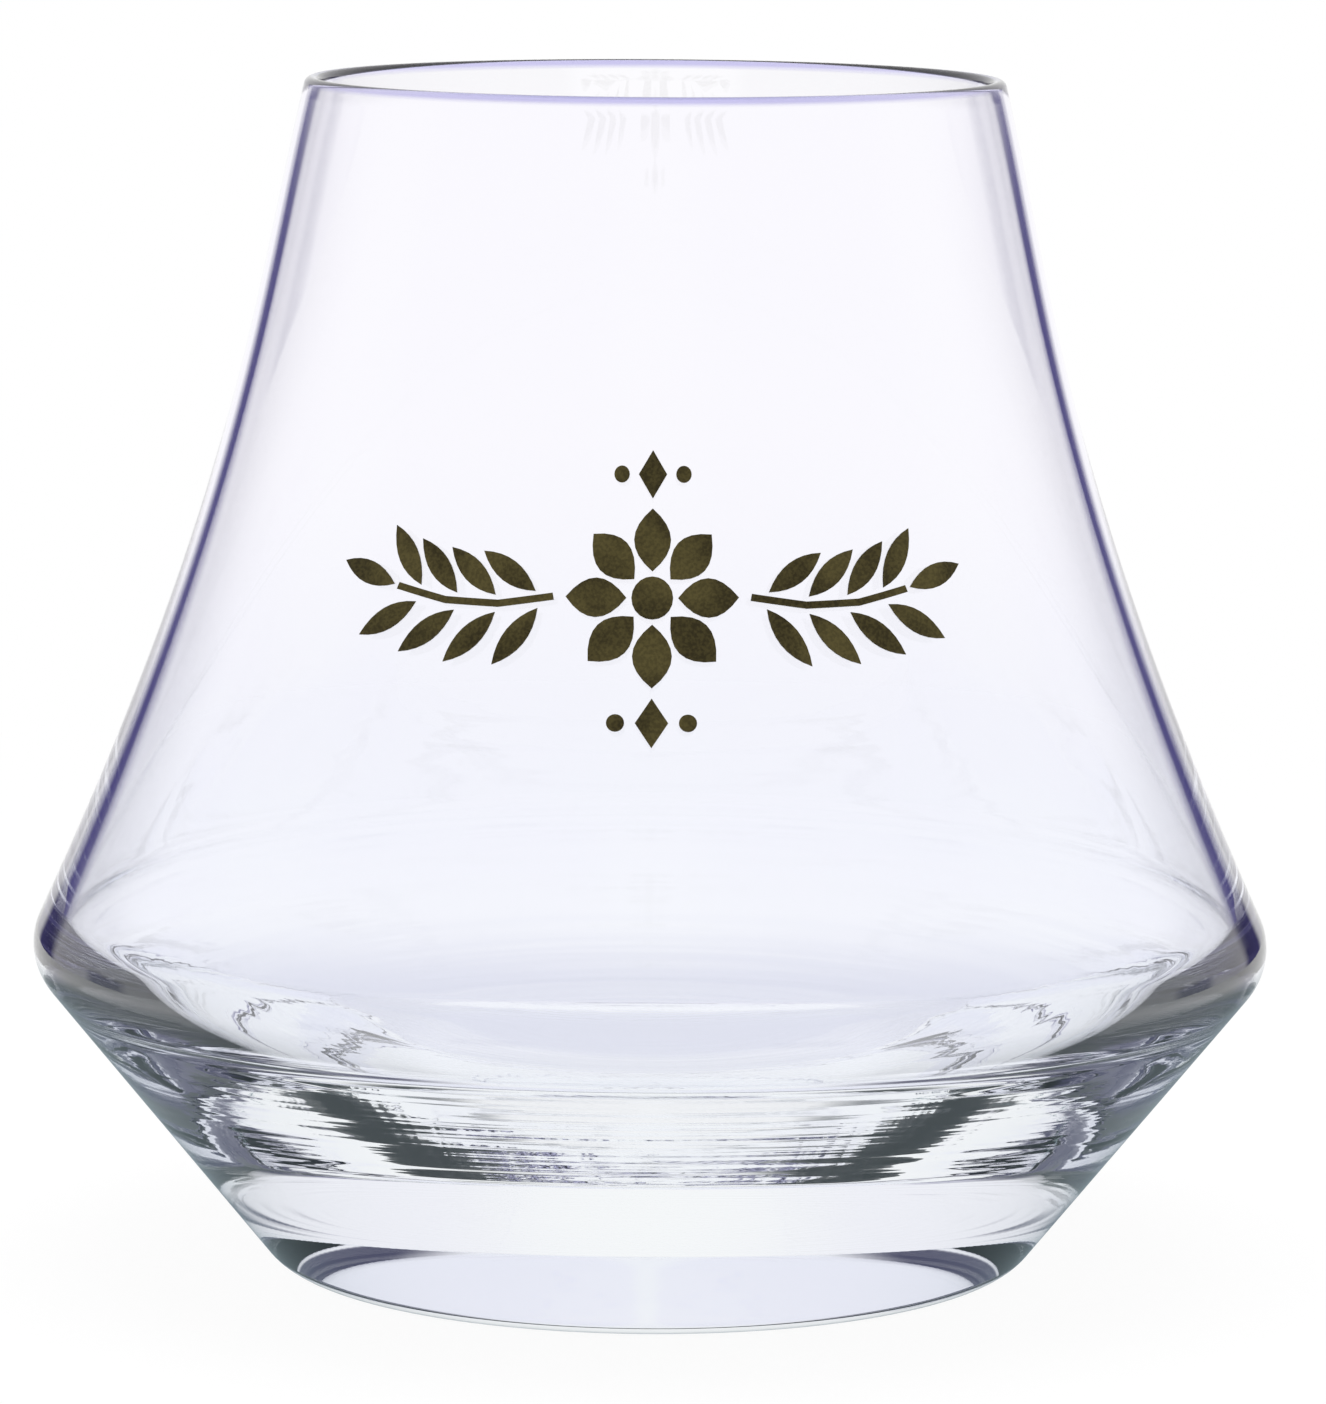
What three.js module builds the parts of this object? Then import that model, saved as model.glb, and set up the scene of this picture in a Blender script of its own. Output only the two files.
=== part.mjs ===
// A clear whisky tumbler: one body of glass with a heavy base, a wide shoulder and a flank that
// narrows to the mouth, and an ornament of fired metallic enamel printed on its front.
// Millimetres, +Z up. The origin is the centre of the foot, on the table. The print faces -Y.
import * as THREE from 'three';
import { TessellateModifier } from 'three/addons/modifiers/TessellateModifier.js';

// Outside of the glass
const overallHeight = 91.4;
const rimDiameter = 53.4; // outside of the lip
const shoulderDiameter = 95.0; // the widest place
const shoulderHeight = 25.1; // centre of the shoulder's rounding
const shoulderRounding = 4.5;
const footDiameter = 53.2; // outer edge of the flat that stands on the table
const heelRounding = 4.1;
const flankLowerLean = 24.8; // degrees from upright, where the flank leaves the shoulder
const flankUpperLean = 13.7; // degrees from upright, at the lip
const flankLowerReach = 37.2; // how far the flank's curve is drawn along each lean
const flankUpperReach = 16.0;

// Inside of the glass
const rimWall = 1.2;
const shoulderWall = 2.4;
const innerShoulderHeight = 26.3; // centre of the inner shoulder's rounding
const innerShoulderRounding = 4.8;
const innerFlankLowerLean = 22.8; // degrees from upright, so the wall thins above the shoulder
const floorThickness = 15.8; // glass from the table's level up to the floor of the bowl
const floorDiameter = 46.0; // the level middle of the floor
const floorRounding = 7.0; // from the level floor up into the dish

// Underside
const footRingWidth = 4.5; // level ring that touches the table
const puntDepth = 0.8; // shallow hollow inside that ring

// Printed ornament
const ornamentHeight = 56.0; // height of the rosette's centre above the table
const enamelThickness = 0.1;
const enamelClearance = 0.06; // between the faceted glass and the film
const enamelGap = 0.35; // bare glass between neighbouring islands of enamel
const rosettePetals = 8;
const rosetteEyeDiameter = 3.0;
const petalLength = 4.4;
const sprigClearance = 0.9; // from the petals' tips to the start of a stem
const leafPairs = 4;
const leafLength = 5.0;
const leafWidth = 1.6;
const leafSpread = 43.0; // degrees between a leaf and its stem
const leafStart = 0.4; // of the pitch between pairs, from the stem's start to the first pair
const stemWidth = 0.5;
const stemBend = 24.0; // radius on which the stem curves upwards
const stemDip = 14.0; // degrees below level, where the stem starts
const lozengeLength = 3.4;
const lozengeWidth = 2.2;
const beadDiameter = 1.2;

// Fineness of the facets
const turnSegments = 72;
const flankSteps = 13;
const arcStep = 14; // degrees
const fewestArcSteps = 3;
const leafSteps = 8; // along each edge of a leaf or petal
const discSides = 20;
const enamelEdge = 2.0; // longest edge of a film's facet
const enamelSplits = 8; // the most times an edge is halved
const flankFineness = 1e-7; // of the flank's length, when a height is looked up

const { degToRad, radToDeg } = THREE.MathUtils;
const at = (x, y) => new THREE.Vector2(x, y);
const heading = (degrees) => at(Math.cos(degToRad(degrees)), Math.sin(degToRad(degrees)));
const along = (start, degrees, distance) => start.clone().addScaledVector(heading(degrees), distance);

// Points of an arc, between the two directions in degrees that its ends lie in from its centre.
function arcPoints(centre, radius, from, to) {
  const turn = [degToRad(from), degToRad(to), to < from];
  const steps = Math.max(fewestArcSteps, Math.ceil(Math.abs(to - from) / arcStep));
  return new THREE.EllipseCurve(centre.x, centre.y, radius, radius, ...turn).getPoints(steps);
}

// Direction, in degrees, from both circles' centres to the line that touches them on the right.
function tangentSide(lower, lowerRadius, upper, upperRadius) {
  const across = upper.clone().sub(lower);
  const taper = Math.asin((upperRadius - lowerRadius) / across.length());
  return radToDeg(across.angle() - taper) - 90;
}

// One face of the flank: a curve that leaves the shoulder's rounding and meets the lip, at their leans.
function flankCurve(centre, rounding, lowerLean, lipEdge) {
  const start = along(centre, lowerLean, rounding);
  return new THREE.CubicBezierCurve(
    start,
    along(start, 90 + lowerLean, flankLowerReach),
    along(lipEdge, 270 + flankUpperLean, flankUpperReach),
    lipEdge,
  );
}

// Section of the glass. x is the radius and y is the height.
const lipRadius = rimWall / 2;
const lip = at(rimDiameter / 2 - lipRadius, overallHeight - lipRadius);
const shoulder = at(shoulderDiameter / 2 - shoulderRounding, shoulderHeight);
const heel = at(footDiameter / 2, heelRounding);
const innerShoulder = at(shoulderDiameter / 2 - shoulderWall - innerShoulderRounding, innerShoulderHeight);
const floorEdge = at(floorDiameter / 2, floorThickness + floorRounding);
const lowerWall = tangentSide(heel, heelRounding, shoulder, shoulderRounding);
const dish = tangentSide(floorEdge, floorRounding, innerShoulder, innerShoulderRounding);
const flank = flankCurve(
  shoulder, shoulderRounding, flankLowerLean, along(lip, flankUpperLean, lipRadius),
);
const innerFlank = flankCurve(
  innerShoulder, innerShoulderRounding, innerFlankLowerLean, along(lip, 180 + flankUpperLean, lipRadius),
);

function glassSection() {
  const ringInside = footDiameter / 2 - footRingWidth;
  const puntRadius = (ringInside ** 2 + puntDepth ** 2) / (2 * puntDepth);
  const puntEdge = radToDeg(Math.acos(ringInside / puntRadius));
  const stretches = [
    arcPoints(at(0, puntDepth - puntRadius), puntRadius, 90, puntEdge),
    arcPoints(heel, heelRounding, -90, lowerWall),
    arcPoints(shoulder, shoulderRounding, lowerWall, flankLowerLean),
    flank.getPoints(flankSteps).slice(1),
    arcPoints(lip, lipRadius, flankUpperLean, 180 + flankUpperLean).slice(1),
    innerFlank.getPoints(flankSteps).reverse().slice(1),
    arcPoints(innerShoulder, innerShoulderRounding, innerFlankLowerLean, dish).slice(1),
    arcPoints(floorEdge, floorRounding, dish, -90),
  ];
  const section = [...stretches.flat(), at(0, floorThickness)];
  section[0].x = 0;
  return section;
}

function glassBody() {
  const geometry = new THREE.LatheGeometry(glassSection(), turnSegments);
  geometry.rotateX(Math.PI / 2);
  const glass = new THREE.MeshStandardMaterial({
    color: 0xe6eaf4, roughness: 0.03, metalness: 0, transparent: true, opacity: 0.35,
  });
  const body = new THREE.Mesh(geometry, glass);
  body.name = 'glass_body';
  return body;
}

// The flank's radius and outward direction, in degrees above level, at a height.
function flankAt(height) {
  let low = 0;
  let high = 1;
  while (high - low > flankFineness) {
    const middle = (low + high) / 2;
    if (flank.getPoint(middle).y < height) low = middle;
    else high = middle;
  }
  return { radius: flank.getPoint(low).x, outward: radToDeg(flank.getTangent(low).angle()) - 90 };
}

// An island of enamel: a flat outline, drawn from the rosette's centre, laid on the front flank.
const printRadius = flankAt(ornamentHeight).radius;
function enamelIsland(name, outline) {
  const flat = new THREE.ExtrudeGeometry(new THREE.Shape(outline), {
    depth: enamelThickness, bevelEnabled: false,
  });
  const geometry = new TessellateModifier(enamelEdge, enamelSplits).modify(flat);
  const places = geometry.attributes.position;
  for (let i = 0; i < places.count; i += 1) {
    const { radius, outward } = flankAt(ornamentHeight + places.getY(i));
    const raised = along(
      at(radius, ornamentHeight + places.getY(i)), outward, enamelClearance + places.getZ(i),
    );
    const turn = places.getX(i) / printRadius;
    places.setXYZ(i, raised.x * Math.sin(turn), -raised.x * Math.cos(turn), raised.y);
  }
  const enamel = new THREE.MeshStandardMaterial({ color: 0x4b4224, roughness: 0.35, metalness: 0.8 });
  const island = new THREE.Mesh(geometry, enamel);
  island.name = name;
  return island;
}

// A pointed oval from a base point along a direction in degrees, widest at its middle.
function leafOutline(base, direction, length, width) {
  const middle = along(base, direction, length / 2);
  const tip = along(base, direction, length);
  const edge = (side) => along(middle, direction + 90 * side, width);
  const sides = [
    new THREE.QuadraticBezierCurve(base, edge(-1), tip),
    new THREE.QuadraticBezierCurve(tip, edge(1), base),
  ];
  return sides.flatMap((side) => side.getPoints(leafSteps).slice(0, -1));
}

const discOutline = (centre, diameter) =>
  Array.from({ length: discSides }, (_, i) => along(centre, (360 * i) / discSides, diameter / 2));

// Rosette: petals around an eye, as wide as leaves the gap between neighbours.
const petalStart = rosetteEyeDiameter / 2 + enamelGap;
const rosetteRadius = petalStart + petalLength;
function rosette() {
  const petalWidth =
    2 * (petalStart + petalLength / 2) * Math.sin(Math.PI / rosettePetals) - enamelGap;
  const petals = Array.from({ length: rosettePetals }, (_, i) => {
    const direction = (360 * i) / rosettePetals;
    return enamelIsland(
      `rosette_petal_${i + 1}`,
      leafOutline(along(at(0, 0), direction, petalStart), direction, petalLength, petalWidth),
    );
  });
  return [...petals, enamelIsland('rosette_eye', discOutline(at(0, 0), rosetteEyeDiameter))];
}

// Sprig: leaves in pairs along a bent stem and one at its tip. hand is 1 on the right, -1 on the left.
function sprig(label, hand) {
  const start = at(rosetteRadius + sprigClearance, 0);
  const bendCentre = along(start, 90 - stemDip, stemBend);
  const rise = Math.sin(degToRad(leafSpread));
  const pitch = (leafWidth + enamelGap) / (rise * (1 - (leafLength * rise) / (2 * stemBend)));
  const turnAt = (distance) => radToDeg(distance / stemBend) - stemDip;
  const stemLength = leafPairs * pitch;
  const laid = (name, outline) =>
    enamelIsland(`${label}_${name}`, outline.map((place) => at(place.x * hand, place.y)));

  // Each leaf is moved off the stem until its nearest point keeps the gap.
  const leaf = (distance, side) => {
    const turn = turnAt(distance);
    const base = along(bendCentre, turn - 90, stemBend);
    const outline = leafOutline(base, turn + side * leafSpread, leafLength, leafWidth);
    const offStem = (place) => side * (stemBend - place.distanceTo(bendCentre));
    const move = stemWidth / 2 + enamelGap - Math.min(...outline.map(offStem));
    return outline.map((place) => along(place, turn + 90 * side, move));
  };

  const stem = [
    ...arcPoints(bendCentre, stemBend + stemWidth / 2, turnAt(0) - 90, turnAt(stemLength) - 90),
    ...arcPoints(bendCentre, stemBend - stemWidth / 2, turnAt(stemLength) - 90, turnAt(0) - 90),
  ];
  const tipBase = along(bendCentre, turnAt(stemLength + enamelGap) - 90, stemBend);
  const pieces = [
    laid('stem', stem),
    laid('tip_leaf', leafOutline(tipBase, turnAt(stemLength), leafLength, leafWidth)),
  ];
  for (let pair = 0; pair < leafPairs; pair += 1) {
    const distance = (pair + leafStart) * pitch;
    pieces.push(laid(`upper_leaf_${pair + 1}`, leaf(distance, 1)));
    pieces.push(laid(`lower_leaf_${pair + 1}`, leaf(distance, -1)));
  }
  return pieces;
}

// A lozenge with a bead on each side, above or below the rosette. hand is 1 above, -1 below.
function pendant(label, hand) {
  const centre = at(0, hand * (rosetteRadius + 2 * enamelGap + lozengeLength / 2));
  const beadPlace = lozengeWidth / 2 + 2 * enamelGap + beadDiameter / 2;
  const lozenge = [0, 90, 180, 270].map((direction) =>
    along(centre, direction, (direction % 180 ? lozengeLength : lozengeWidth) / 2));
  const bead = (side) => discOutline(at(centre.x + side * beadPlace, centre.y), beadDiameter);
  return [
    enamelIsland(`${label}_lozenge`, lozenge),
    enamelIsland(`${label}_left_bead`, bead(-1)),
    enamelIsland(`${label}_right_bead`, bead(1)),
  ];
}

const tumbler = new THREE.Group();
tumbler.add(glassBody());
tumbler.add(...rosette(), ...sprig('left', -1), ...sprig('right', 1));
tumbler.add(...pendant('upper', 1), ...pendant('lower', -1));

export default tumbler;
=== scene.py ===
import math

import bmesh
import bpy
from mathutils import Matrix, Vector
from mathutils.geometry import interpolate_bezier


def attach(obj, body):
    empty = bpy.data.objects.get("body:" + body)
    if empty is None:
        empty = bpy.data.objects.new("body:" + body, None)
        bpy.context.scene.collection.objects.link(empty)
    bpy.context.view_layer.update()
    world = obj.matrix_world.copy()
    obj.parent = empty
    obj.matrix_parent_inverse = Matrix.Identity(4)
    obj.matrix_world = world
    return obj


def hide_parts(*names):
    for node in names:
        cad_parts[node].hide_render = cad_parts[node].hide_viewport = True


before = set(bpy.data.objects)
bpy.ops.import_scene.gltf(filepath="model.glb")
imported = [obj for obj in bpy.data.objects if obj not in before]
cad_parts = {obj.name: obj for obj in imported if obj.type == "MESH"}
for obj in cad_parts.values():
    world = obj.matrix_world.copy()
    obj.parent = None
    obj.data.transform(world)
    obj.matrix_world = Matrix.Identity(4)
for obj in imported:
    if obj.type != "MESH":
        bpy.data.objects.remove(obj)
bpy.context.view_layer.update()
scene = bpy.context.scene
scene.view_settings.view_transform = "Standard"
# light is followed far enough to leave the heavy base again
scene.cycles.max_bounces = 32
scene.cycles.glossy_bounces = 24
scene.cycles.transmission_bounces = 24
print("frame loaded with", len(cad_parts), "nodes")


# A socket that takes part in Python expressions. Numbers alone are worked out before they get here.
class Wire:
    def __init__(self, tree, socket=None):
        self.tree, self.socket = tree, socket

    # any node: its type, its settings, then the values or links of its sockets
    def node(self, kind, settings=None, sockets=None, output=0):
        made = self.tree.nodes.new(kind)
        for name, value in (settings or {}).items():
            if name == "stops":
                fillRamp(made.color_ramp, value)
            else:
                setattr(made, name, value)
        for name, value in (sockets or {}).items():
            if isinstance(value, Wire):
                self.tree.links.new(value.socket, made.inputs[name])
            else:
                made.inputs[name].default_value = value
        return Wire(self.tree, made.outputs[output] if made.outputs else None)

    def maths(self, operation, *values):
        return self.node("ShaderNodeMath", {"operation": operation}, dict(enumerate(values)))

    def __add__(self, other):
        return self.maths("ADD", self, other)

    def __sub__(self, other):
        return self.maths("SUBTRACT", self, other)

    def __rsub__(self, other):
        return self.maths("SUBTRACT", other, self)

    def __mul__(self, other):
        return self.maths("MULTIPLY", self, other)

    def __truediv__(self, other):
        return self.maths("DIVIDE", self, other)

    __radd__ = __add__
    __rmul__ = __mul__

    # 0 below one value, 1 above another, with a soft step between
    def step(self, low, high):
        settings = {"interpolation_type": "SMOOTHSTEP"}
        return self.node("ShaderNodeMapRange", settings, {"Value": self, "From Min": low, "From Max": high})

    def colours(self, stops):
        return self.node("ShaderNodeValToRGB", {"stops": stops}, {"Fac": self})

    # this value is the share of the second colour
    def between(self, first, second):
        return self.node("ShaderNodeMix", {"data_type": "RGBA"}, {0: self, 6: first, 7: second}, 2)


def fillRamp(ramp, stops):
    while len(ramp.elements) < len(stops):
        ramp.elements.new(1.0)
    for element, (place, colour) in zip(ramp.elements, stops):
        element.position = place
        element.color = (*colour, 1.0)


def axes(vector):
    parts = vector.node("ShaderNodeSeparateXYZ", {}, {"Vector": vector})
    return [Wire(vector.tree, output) for output in parts.socket.node.outputs]


def newMaterial(name):
    material = bpy.data.materials.new(name)
    material.use_nodes = True
    material.node_tree.nodes.clear()
    tree = Wire(material.node_tree)
    return material, tree, tree.node("ShaderNodeTexCoord", output="Object")


def addObject(name, mesh):
    made = bpy.data.objects.new(name, mesh)
    scene.collection.objects.link(made)
    return made


# The tumbler's glass, in millimetres: the same section as the frame, turned smooth
tumbler = {
    "height": 91.4,
    "rimDiameter": 53.4,
    "shoulderDiameter": 95.0,
    "shoulderHeight": 25.1,
    "shoulderRounding": 4.5,
    "footDiameter": 53.2,
    "heelRounding": 4.1,
    "flankLowerLean": 24.8,  # degrees from upright
    "flankUpperLean": 13.7,
    "flankLowerReach": 37.2,
    "flankUpperReach": 16.0,
    "rimWall": 1.2,
    "shoulderWall": 2.4,
    "innerShoulderHeight": 26.3,
    "innerShoulderRounding": 4.8,
    "innerFlankLowerLean": 22.8,
    "floorThickness": 15.8,
    "floorDiameter": 46.0,
    "floorRounding": 7.0,
    "footRingWidth": 4.5,
    "puntDepth": 0.8,
    "turnSteps": 240,
    "arcStep": 4.0,  # degrees
    "flankSteps": 48,
    "millimetre": 0.001,
}


def heading(degrees):
    turn = math.radians(degrees)
    return Vector((math.cos(turn), 0.0, math.sin(turn)))


# direction from both centres to the line that touches the two circles on the right
def tangentSide(lower, lowerRadius, upper, upperRadius):
    across = upper - lower
    taper = math.asin((upperRadius - lowerRadius) / across.length)
    return math.degrees(math.atan2(across.z, across.x) - taper) - 90.0


def lineTo(bm, tip, place):
    end = bm.verts.new(place)
    bm.edges.new((tip, end))
    return end


def arcTo(bm, tip, centre, fromSide, toSide, step):
    turn = toSide - fromSide
    made = bmesh.ops.spin(
        bm, geom=[tip], cent=centre, axis=(0.0, -1.0, 0.0), angle=math.radians(turn),
        steps=max(3, math.ceil(abs(turn) / step)),
    )
    return next(part for part in made["geom_last"] if isinstance(part, bmesh.types.BMVert))


# one face of the flank, from the shoulder's rounding to the lip
def flankPlaces(size, centre, rounding, lowerLean, lipEdge):
    start = centre + heading(lowerLean) * rounding
    lowerHandle = start + heading(90.0 + lowerLean) * size["flankLowerReach"]
    upperHandle = lipEdge - heading(90.0 + size["flankUpperLean"]) * size["flankUpperReach"]
    return interpolate_bezier(start, lowerHandle, upperHandle, lipEdge, size["flankSteps"])


def drawSection(bm, size):
    step = size["arcStep"]
    lipRadius = size["rimWall"] / 2
    lip = Vector((size["rimDiameter"] / 2 - lipRadius, 0.0, size["height"] - lipRadius))
    shoulderRounding = size["shoulderRounding"]
    shoulder = Vector((size["shoulderDiameter"] / 2 - shoulderRounding, 0.0, size["shoulderHeight"]))
    heelRounding = size["heelRounding"]
    heel = Vector((size["footDiameter"] / 2, 0.0, heelRounding))
    innerRounding = size["innerShoulderRounding"]
    innerRadius = size["shoulderDiameter"] / 2 - size["shoulderWall"] - innerRounding
    innerShoulder = Vector((innerRadius, 0.0, size["innerShoulderHeight"]))
    floorRounding = size["floorRounding"]
    floorEdge = Vector((size["floorDiameter"] / 2, 0.0, size["floorThickness"] + floorRounding))
    lowerWall = tangentSide(heel, heelRounding, shoulder, shoulderRounding)
    dish = tangentSide(floorEdge, floorRounding, innerShoulder, innerRounding)
    lowerLean, upperLean = size["flankLowerLean"], size["flankUpperLean"]
    innerLean = size["innerFlankLowerLean"]

    ringInside = size["footDiameter"] / 2 - size["footRingWidth"]
    puntDepth = size["puntDepth"]
    puntRadius = (ringInside ** 2 + puntDepth ** 2) / (2 * puntDepth)
    puntEdge = math.degrees(math.acos(ringInside / puntRadius))

    tip = bm.verts.new((0.0, 0.0, puntDepth))
    tip = arcTo(bm, tip, Vector((0.0, 0.0, puntDepth - puntRadius)), 90.0, puntEdge, step / 10)
    tip = lineTo(bm, tip, heel - Vector((0.0, 0.0, heelRounding)))
    tip = arcTo(bm, tip, heel, -90.0, lowerWall, step)
    tip = lineTo(bm, tip, shoulder + heading(lowerWall) * shoulderRounding)
    tip = arcTo(bm, tip, shoulder, lowerWall, lowerLean, step)
    outside = flankPlaces(size, shoulder, shoulderRounding, lowerLean, lip + heading(upperLean) * lipRadius)
    for place in outside[1:]:
        tip = lineTo(bm, tip, place)
    tip = arcTo(bm, tip, lip, upperLean, 180.0 + upperLean, 2 * step)
    inside = flankPlaces(size, innerShoulder, innerRounding, innerLean, lip - heading(upperLean) * lipRadius)
    for place in reversed(inside[:-1]):
        tip = lineTo(bm, tip, place)
    tip = arcTo(bm, tip, innerShoulder, innerLean, dish, step)
    tip = lineTo(bm, tip, floorEdge + heading(dish) * floorRounding)
    tip = arcTo(bm, tip, floorEdge, dish, -90.0, step)
    lineTo(bm, tip, (0.0, 0.0, size["floorThickness"]))


def buildGlass(size):
    bm = bmesh.new()
    drawSection(bm, size)
    bmesh.ops.spin(
        bm, geom=bm.verts[:] + bm.edges[:], cent=(0.0, 0.0, 0.0), axis=(0.0, 0.0, 1.0),
        angle=math.tau, steps=size["turnSteps"], use_merge=True,
    )
    bmesh.ops.scale(bm, vec=[size["millimetre"]] * 3, verts=bm.verts)
    bmesh.ops.remove_doubles(bm, verts=bm.verts, dist=1e-6)
    bmesh.ops.recalc_face_normals(bm, faces=bm.faces)
    for face in bm.faces:
        face.smooth = True
    mesh = bpy.data.meshes.new("tumblerGlass")
    bm.to_mesh(mesh)
    bm.free()
    return addObject("tumblerGlass", mesh)


clearGlass = {
    "tintsAndLipShade": [  # share of the height, and the glass's faint tint there; the last stop is painted shade, a dark violet line on the lip's top
        (0.12, (0.985, 0.990, 0.996)),
        (0.28, (0.938, 0.948, 0.985)),
        (0.42, (0.945, 0.950, 0.988)),
        (0.66, (0.980, 0.975, 1.000)),
        (0.9925, (0.982, 0.976, 1.000)),
        # painted shade: a dark violet line along the top of the lip
        (0.9945, (0.460, 0.430, 0.800)),
    ],
    "height": 0.0914,  # metres
    "ior": 1.52,
    "absorbColour": (0.80, 0.90, 0.93, 1.0),
    "absorbDensity": 2.0,
    "waveTurn": 0.6,  # waves lie round the bowl: slow changes round it, quick ones across
    "waveAcross": 500.0,  # per metre
    "waveDepth": 0.00012,  # metres
    "waveDetail": 2.0,
    "dishLow": (0.006, 0.008),  # metres: where the waves of the dish begin and end
    "dishHigh": (0.022, 0.026),
    "lowerWallStart": 0.028,  # metres from the axis: the waves keep clear of the sloping outside
    "lowerWallSlope": 1.3,
    "lowerWallClear": (0.004, 0.006),
}


def makeGlassMaterial(look):
    material, tree, place = newMaterial("clearGlass")
    height = axes(place)[2]
    tintAndLipShade = (height / look["height"]).colours(look["tintsAndLipShade"])
    flat = place.node("ShaderNodeVectorMath", {"operation": "MULTIPLY"}, {0: place, 1: (1.0, 1.0, 0.0)})
    radius = flat.node("ShaderNodeVectorMath", {"operation": "LENGTH"}, {0: flat}, "Value")
    around = flat.node("ShaderNodeVectorMath", {"operation": "NORMALIZE"}, {0: flat})
    across, back, _ = axes(around)
    lowerWall = (radius - look["lowerWallStart"]) * look["lowerWallSlope"]
    dish = (height - lowerWall).step(*look["lowerWallClear"])
    dish = dish * height.step(*look["dishLow"]) * (1.0 - height.step(*look["dishHigh"]))
    ripple = tree.node("ShaderNodeCombineXYZ", {}, {
        "X": across * look["waveTurn"], "Y": back * look["waveTurn"], "Z": radius * look["waveAcross"],
    })
    waves = tree.node("ShaderNodeTexNoise", {}, {"Vector": ripple, "Scale": 1.0, "Detail": look["waveDetail"]})
    bump = tree.node("ShaderNodeBump", {}, {
        "Strength": 1.0, "Distance": look["waveDepth"], "Height": waves * dish,
    })
    glass = tree.node("ShaderNodeBsdfPrincipled", {}, {
        "Base Color": tintAndLipShade, "Roughness": 0.0, "IOR": look["ior"], "Transmission Weight": 1.0, "Normal": bump,
    })
    body = tree.node("ShaderNodeVolumeAbsorption", {}, {
        "Color": look["absorbColour"], "Density": look["absorbDensity"],
    })
    tree.node("ShaderNodeOutputMaterial", {}, {"Surface": glass, "Volume": body})
    return material


glassPiece = buildGlass(tumbler)
glassPiece.data.materials.append(makeGlassMaterial(clearGlass))
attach(glassPiece, "root")
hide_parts("glass_body")
print("glass turned:", len(glassPiece.data.polygons), "faces")


# Fired metallic enamel on the flank
bronzeEnamel = {
    "deep": (0.030, 0.024, 0.008, 1.0),
    "bright": (0.095, 0.078, 0.026, 1.0),
    "metallic": 0.85,
    "roughness": 0.36,
    "roughnessSpread": 0.2,
    "cloudScale": 260.0,  # per metre
    "cloudDetail": 3.0,
    "cloudShare": 0.6,
    "grainScale": 4200.0,
    "grainDetail": 2.0,
    "grainShare": 0.4,
    "grainMiddle": 0.5,
    "change": (0.35, 0.65),  # where the noise passes from the deep colour to the bright one
    "bumpStrength": 0.15,
    "bumpDepth": 0.00002,  # metres
}


def makeEnamelMaterial(look):
    material, tree, place = newMaterial("bronzeEnamel")
    cloud = tree.node("ShaderNodeTexNoise", {}, {
        "Vector": place, "Scale": look["cloudScale"], "Detail": look["cloudDetail"],
    })
    grain = tree.node("ShaderNodeTexNoise", {}, {
        "Vector": place, "Scale": look["grainScale"], "Detail": look["grainDetail"],
    })
    change = look["change"]
    share = cloud.step(*change) * look["cloudShare"] + grain.step(*change) * look["grainShare"]
    bump = tree.node("ShaderNodeBump", {}, {
        "Strength": look["bumpStrength"], "Distance": look["bumpDepth"], "Height": grain,
    })
    enamel = tree.node("ShaderNodeBsdfPrincipled", {}, {
        "Base Color": share.between(look["deep"], look["bright"]), "Metallic": look["metallic"],
        "Roughness": look["roughness"] + (grain - look["grainMiddle"]) * look["roughnessSpread"],
        "Normal": bump,
    })
    tree.node("ShaderNodeOutputMaterial", {}, {"Surface": enamel})
    return material


enamelMaterial = makeEnamelMaterial(bronzeEnamel)
for name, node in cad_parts.items():
    if name != "glass_body":
        node.data.materials.clear()
        node.data.materials.append(enamelMaterial)
print("enamel laid on", len(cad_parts) - 1, "islands")


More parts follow.
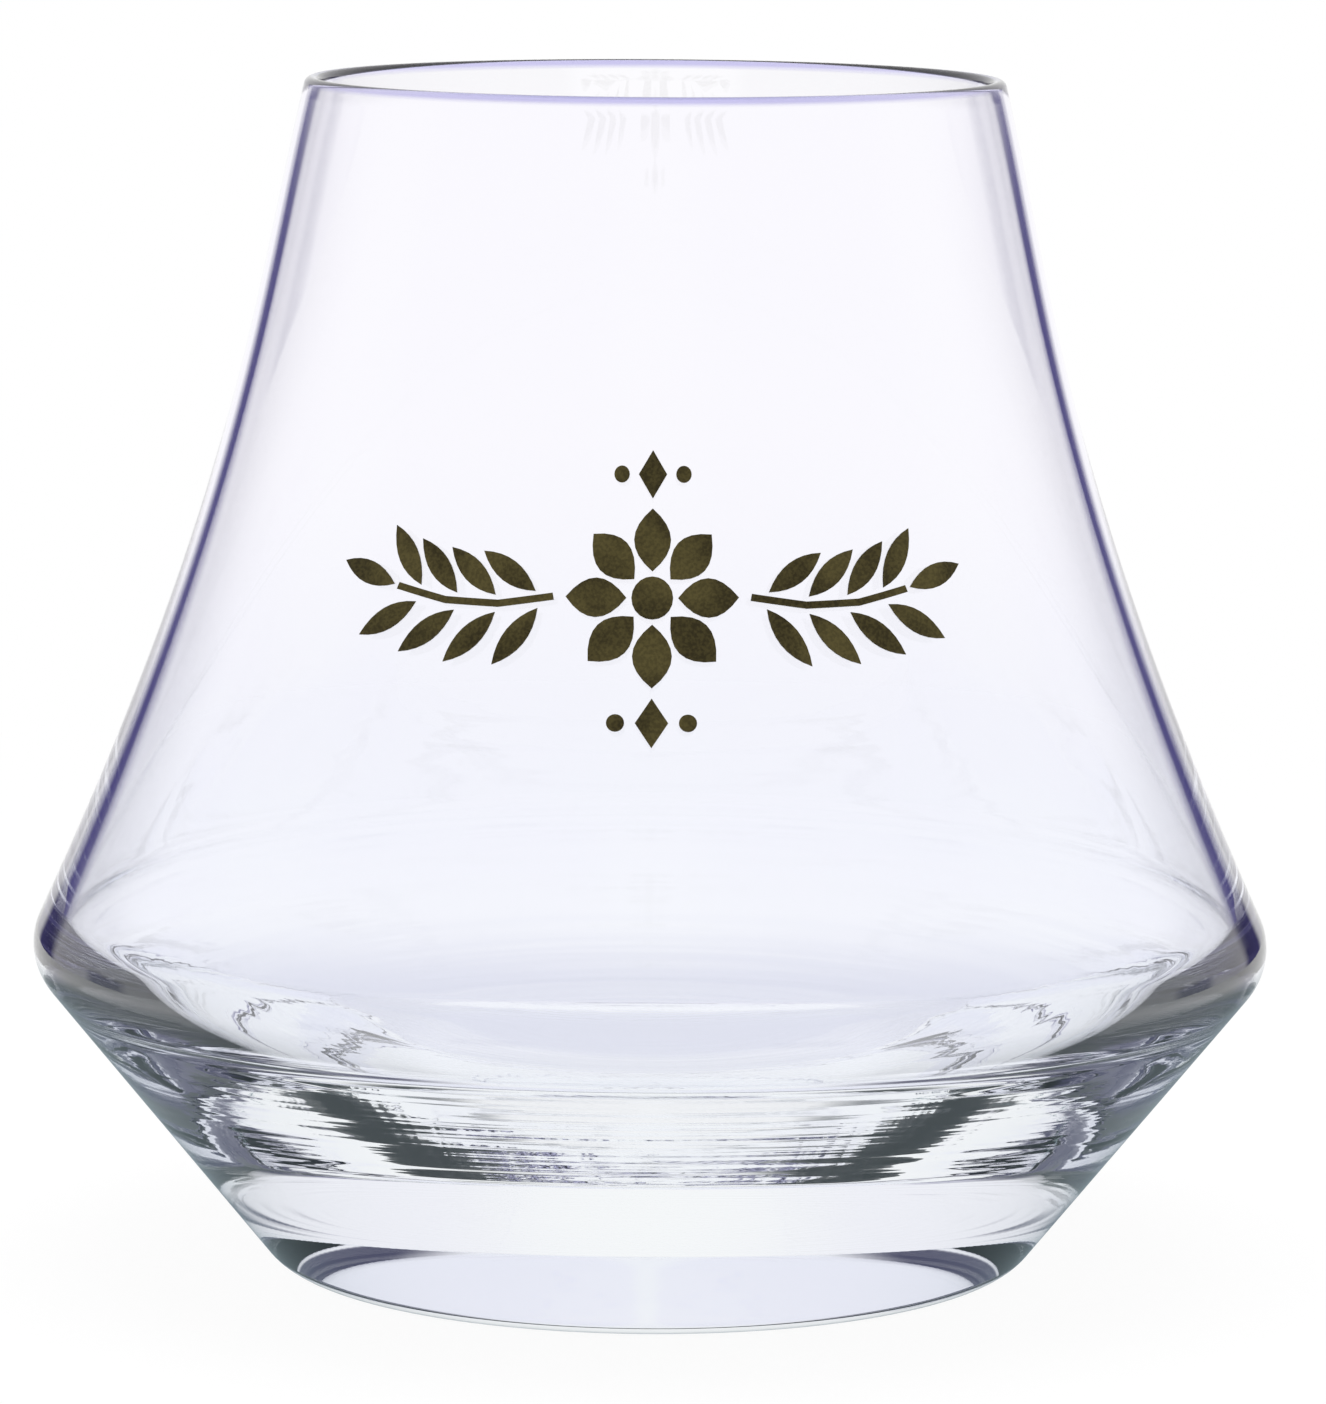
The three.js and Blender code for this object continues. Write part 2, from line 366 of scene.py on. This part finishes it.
# The studio: a white tent over a pale floor, with a violet flag at every diagonal. Light that was reflected
# inside the glass before it left meets painted shade, a dark colour shown only to such light.
studio = {
    "floorRadius": 0.30,  # metres
    "floorSegments": 96,
    "floorColour": (0.9, 0.9, 0.9, 1.0),
    "floorFade": (0.4, 0.95),  # share of the radius over which the shadow fades out
    "shadowShare": 0.06,
    "quarter": 45.0,  # degrees: the flags stand alike in every quarter of the tent
    "half": 90.0,  # degrees: the painted shade lies alike behind and in front
    "flagSide": (20.0, 25.0, 33.0, 38.0),  # degrees from the middle of a wall: where a flag comes and goes
    "flagRise": (-18.0, -12.0, 1.0, 7.0),  # degrees above the floor's level
    "flagColour": (0.09, 0.08, 0.24, 1.0),
    "wallColour": (1.0, 1.0, 1.0, 1.0),
    "blushSide": (4.0, 20.0),
    "blushColour": (0.95, 0.94, 0.99, 1.0),
    "reflectedOnce": (0.4, 0.6),  # counts of reflections
    "reflectedOften": (1.4, 1.6),
    "crossedTwice": (1.4, 1.6, 2.4, 2.6),  # counts of surfaces crossed: in once and out once
    # painted shade: where and how dark the tent and the floor look to light reflected inside the glass
    "paintedShadeSide": (28.0, 40.0),
    "paintedShadeRise": (4.0, 12.0),
    "deepPaintedShadeSide": (12.0, 24.0),
    "deepPaintedShadeRise": (45.0, 60.0),
    "paintedShadeColour": (0.060, 0.055, 0.115, 1.0),
    "nearPaintedShadeColour": (0.020, 0.028, 0.030, 1.0),
    "nearPaintedShadeReach": (0.090, 0.120),  # metres: closer than this the floor's painted shade is darker still
    "shadeReach": (0.040, 0.065),  # metres: the floor in the glass's own shade
    "shadeThrough": (0.77, 0.78, 0.87, 1.0),  # as it is seen through the glass
    "mirrorReach": (0.090, 0.150),
    "shadeMirrored": (0.22, 0.29, 0.32, 1.0),  # as the outside of the glass mirrors it
    "diffuseLevel": 0.9,
    "lampHeight": 0.9,
    "lampSize": 0.8,
    "lampPower": 5.0,
}


def lightPath(tree, *kinds):
    total = tree.node("ShaderNodeLightPath", output=kinds[0])
    for kind in kinds[1:]:
        total = total + tree.node("ShaderNodeLightPath", output=kind)
    return total.maths("MINIMUM", total, 1.0)


# degrees round the tent from straight behind, folded back and forth at a limit
def sideOf(direction, limit):
    across, back, _ = axes(direction)
    turn = across.maths("ARCTAN2", across, back) * math.degrees(1.0)
    return turn.maths("PINGPONG", turn, limit)


# 1 from the second place to the third, and 0 outside the first and the last
def within(value, places):
    return value.step(places[0], places[1]) * (1.0 - value.step(places[2], places[3]))


# shares of painted shade in what a ray sees, for light that was reflected inside the glass at least once
# and for light that was reflected there more often: a dark colour shown only to such light
def paintedShadeShares(tree, direction, look):
    side = sideOf(direction, look["half"])
    reflected = tree.node("ShaderNodeLightPath", output="Glossy Depth")
    crossed = tree.node("ShaderNodeLightPath", output="Transmission Depth")
    inside = within(crossed, look["crossedTwice"])
    once = inside * reflected.step(*look["reflectedOnce"]) * side.step(*look["paintedShadeSide"])
    often = inside * reflected.step(*look["reflectedOften"]) * side.step(*look["deepPaintedShadeSide"])
    return once, often


def buildFloor(look):
    bm = bmesh.new()
    bmesh.ops.create_circle(bm, cap_ends=True, segments=look["floorSegments"], radius=look["floorRadius"])
    mesh = bpy.data.meshes.new("studioFloor")
    bm.to_mesh(mesh)
    bm.free()
    floor = addObject("studioFloor", mesh)
    material, tree, place = newMaterial("paleFloor")
    lit = tree.node("ShaderNodeBsdfDiffuse", {}, {"Color": look["floorColour"]})
    reach = place.node("ShaderNodeVectorMath", {"operation": "LENGTH"}, {0: place}, "Value")
    shade = 1.0 - reach.step(*look["shadeReach"])
    through = lightPath(tree, "Is Transmission Ray")
    nearby = (1.0 - reach.step(*look["mirrorReach"])) * (1.0 - through)
    mirrored = nearby.between(look["wallColour"], look["shadeMirrored"])
    straight = shade * through * (1.0 - lightPath(tree, "Glossy Depth"))
    ground = straight.between(mirrored, look["shadeThrough"])
    # painted shade: the floor turns dark for light reflected inside the glass, darker close to it
    dim = reach.step(*look["nearPaintedShadeReach"]).between(look["nearPaintedShadeColour"], look["paintedShadeColour"])
    once, often = paintedShadeShares(tree, place, look)
    colour = once.maths("MAXIMUM", once, often).between(ground, dim)
    colour = lightPath(tree, "Is Camera Ray").between(colour, look["wallColour"])
    shown = tree.node("ShaderNodeEmission", {}, {"Color": colour, "Strength": 1.0})
    edge = (reach / look["floorRadius"]).step(*look["floorFade"])
    seen = lightPath(tree, "Is Camera Ray", "Is Glossy Ray", "Is Transmission Ray")
    share = seen * (1.0 - look["shadowShare"] * (1.0 - edge))
    surface = tree.node("ShaderNodeMixShader", {}, {"Fac": share, 1: lit, 2: shown})
    tree.node("ShaderNodeOutputMaterial", {}, {"Surface": surface})
    mesh.materials.append(material)


def buildWorld(look):
    world = bpy.data.worlds.new("tent")
    world.use_nodes = True
    world.node_tree.nodes.clear()
    tree = Wire(world.node_tree)
    direction = tree.node("ShaderNodeTexCoord", output="Generated")
    side = sideOf(direction, look["quarter"])
    up = axes(direction)[2]
    rise = up.maths("ARCSINE", up) * math.degrees(1.0)
    wall = side.step(*look["blushSide"]).between(look["wallColour"], look["blushColour"])
    flag = within(side, look["flagSide"]) * within(rise, look["flagRise"])
    # painted shade: the tent turns dark for light reflected inside the glass
    once, often = paintedShadeShares(tree, direction, look)
    once = once * (1.0 - rise.step(*look["paintedShadeRise"]))
    often = often * (1.0 - rise.step(*look["deepPaintedShadeRise"]))
    paintedShade = once.maths("MAXIMUM", once, often)
    tent = paintedShade.between(flag.between(wall, look["flagColour"]), look["paintedShadeColour"])
    level = look["diffuseLevel"]
    seen = lightPath(tree, "Is Glossy Ray", "Is Transmission Ray").between((level, level, level, 1.0), tent)
    colour = lightPath(tree, "Is Camera Ray").between(seen, look["wallColour"])
    light = tree.node("ShaderNodeBackground", {}, {"Color": colour, "Strength": 1.0})
    tree.node("ShaderNodeOutputWorld", {}, {"Surface": light})
    scene.world = world


def buildLamp(look):
    light = bpy.data.lights.new("overheadLamp", "AREA")
    light.shape = "DISK"
    light.size = look["lampSize"]
    light.energy = look["lampPower"]
    lamp = addObject("overheadLamp", light)
    lamp.location = (0.0, 0.0, look["lampHeight"])
    lamp.visible_camera = lamp.visible_glossy = lamp.visible_transmission = False


# The photograph is 1326 by 1404, and its longer side takes the whole sensor
camera = {
    "place": (0.0, -0.5485, 0.1216),  # metres
    "turn": -0.0915,  # degrees
    "dip": 8.11,
    "roll": 0.37,
    "focalPixels": 7200.9,
    "framePixels": 1404,
    "sensor": 36.0,
    "farthest": 100.0,
}


def buildCamera(look):
    lens = bpy.data.cameras.new("photoCamera")
    lens.sensor_width = look["sensor"]
    lens.lens = look["focalPixels"] * look["sensor"] / look["framePixels"]
    lens.clip_end = look["farthest"]
    eye = addObject("photoCamera", lens)
    eye.matrix_world = (
        Matrix.Translation(look["place"])
        @ Matrix.Rotation(math.radians(look["turn"]), 4, "Z")
        @ Matrix.Rotation(math.radians(90.0 - look["dip"]), 4, "X")
        @ Matrix.Rotation(math.radians(look["roll"]), 4, "Z")
    )
    scene.camera = eye


buildFloor(studio)
buildWorld(studio)
buildLamp(studio)
buildCamera(camera)
print("studio and camera set")
